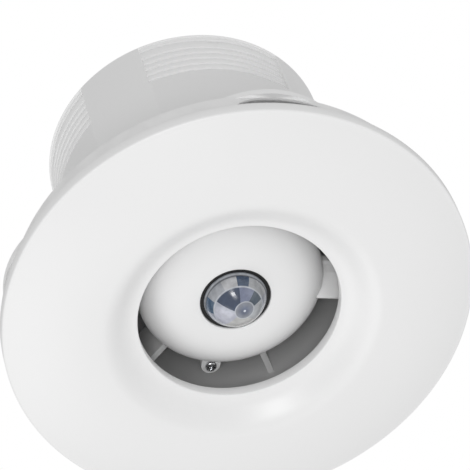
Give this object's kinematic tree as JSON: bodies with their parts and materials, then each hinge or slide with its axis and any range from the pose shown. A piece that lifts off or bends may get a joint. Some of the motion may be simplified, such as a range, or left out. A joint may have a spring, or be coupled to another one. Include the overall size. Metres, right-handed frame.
{
  "type": "bathroom extractor fan",
  "caption": "Round ceiling extractor fan with a dished fascia, a central movement sensor pod, a ribbed duct spigot and a back-draught shutter.",
  "frame": {"origin": "on the fan axis, in the face of the base flange that lies against the ceiling", "axes": "+Z along the fan axis, away from the room and into the duct; +X and +Y across two of the finger notches, with +X along the sensor arms"},
  "size_m": [0.16, 0.16, 0.1033],
  "materials": {
    "fascia_white": "satin gloss",
    "base_white": "satin",
    "body_white": "satin",
    "carrier_grey": "satin",
    "screw_steel": "zinc plated",
    "bridge_white": "satin",
    "pod_white": "satin gloss",
    "lens_clear": "moulded translucent",
    "seal_black": "matte",
    "board_green": "solder mask",
    "can_nickel": "nickel plated",
    "filter_dark": "coated",
    "motor_zinc": "zinc plated",
    "lamination_steel": "stacked laminations",
    "copper_wire": "enamelled",
    "rotor_aluminium": "cast and turned",
    "bright_steel": "ground",
    "bearing_steel": "ground",
    "impeller_grey": "satin",
    "nut_brass": "turned",
    "frame_white": "satin",
    "flap_white": "satin",
    "terminal_natural": "moulded",
    "grommet_rubber": "moulded",
    "clamp_black": "moulded",
    "relay_blue": "moulded",
    "capacitor_sleeve": "shrink sleeve",
    "chip_black": "moulded epoxy",
    "trimmer_blue": "moulded",
    "adjuster_white": "moulded"
  },
  "bodies": {
    "housing": {"base_flange": "base_white", "duct_body": "body_white", "stator_carrier": "carrier_grey", "body_screws": "screw_steel", "pod_bridge": "bridge_white", "pod_screws": "screw_steel", "pod_cover": "pod_white", "sensor_lens": "lens_clear", "lens_seal": "seal_black", "sensor_board": "board_green", "sensor_can": "can_nickel", "sensor_window": "filter_dark", "motor_can": "motor_zinc", "motor_end_cap": "motor_zinc", "stator_core": "lamination_steel", "stator_coils": "copper_wire", "front_bearing": "bearing_steel", "rear_bearing": "bearing_steel", "motor_screws": "screw_steel", "shutter_frame": "frame_white", "flap_pins": "bright_steel", "terminal_block": "terminal_natural", "terminal_screws": "nut_brass", "cable_grommet": "grommet_rubber", "cable_clamp": "clamp_black", "clamp_screws": "screw_steel", "control_board": "board_green", "relay": "relay_blue", "supply_capacitor": "capacitor_sleeve", "timer_chip": "chip_black", "trimmer_bodies": "trimmer_blue", "board_screws": "screw_steel"},
    "fascia": {"front_fascia": "fascia_white"},
    "rotor": {"rotor_core": "rotor_aluminium", "motor_shaft": "bright_steel", "impeller": "impeller_grey", "impeller_washer": "screw_steel", "impeller_nut": "nut_brass"},
    "left_shutter": {"left_flap": "flap_white"},
    "right_shutter": {"right_flap": "flap_white"},
    "run_on_wheel": {"run_on_adjuster": "adjuster_white"},
    "range_wheel": {"range_adjuster": "adjuster_white"}
  },
  "joints": [
    {"name": "impeller_spin", "type": "hinge", "parent": "housing", "child": "rotor", "pos_m": [0, 0, 0.04], "axis": [0, 0, 1], "continuous": true},
    {"name": "fascia_pull", "type": "slide", "parent": "housing", "child": "fascia", "axis": [0, 0, -1], "range_m": [0, 0.03]},
    {"name": "left_flap_hinge", "type": "hinge", "parent": "housing", "child": "left_shutter", "pos_m": [0, 0.003, 0.0735], "axis": [1, 0, 0], "range_deg": [0, 80]},
    {"name": "right_flap_hinge", "type": "hinge", "parent": "housing", "child": "right_shutter", "pos_m": [0, -0.003, 0.0735], "axis": [-1, 0, 0], "range_deg": [0, 80]},
    {"name": "run_on_adjust", "type": "hinge", "parent": "housing", "child": "run_on_wheel", "pos_m": [-0.04299, 0.04808, 0], "axis": [0, 0, -1], "range_deg": [-135, 135]},
    {"name": "range_adjust", "type": "hinge", "parent": "housing", "child": "range_wheel", "pos_m": [-0.04808, 0.04299, 0], "axis": [0, 0, -1], "range_deg": [-135, 135]}
  ]
}
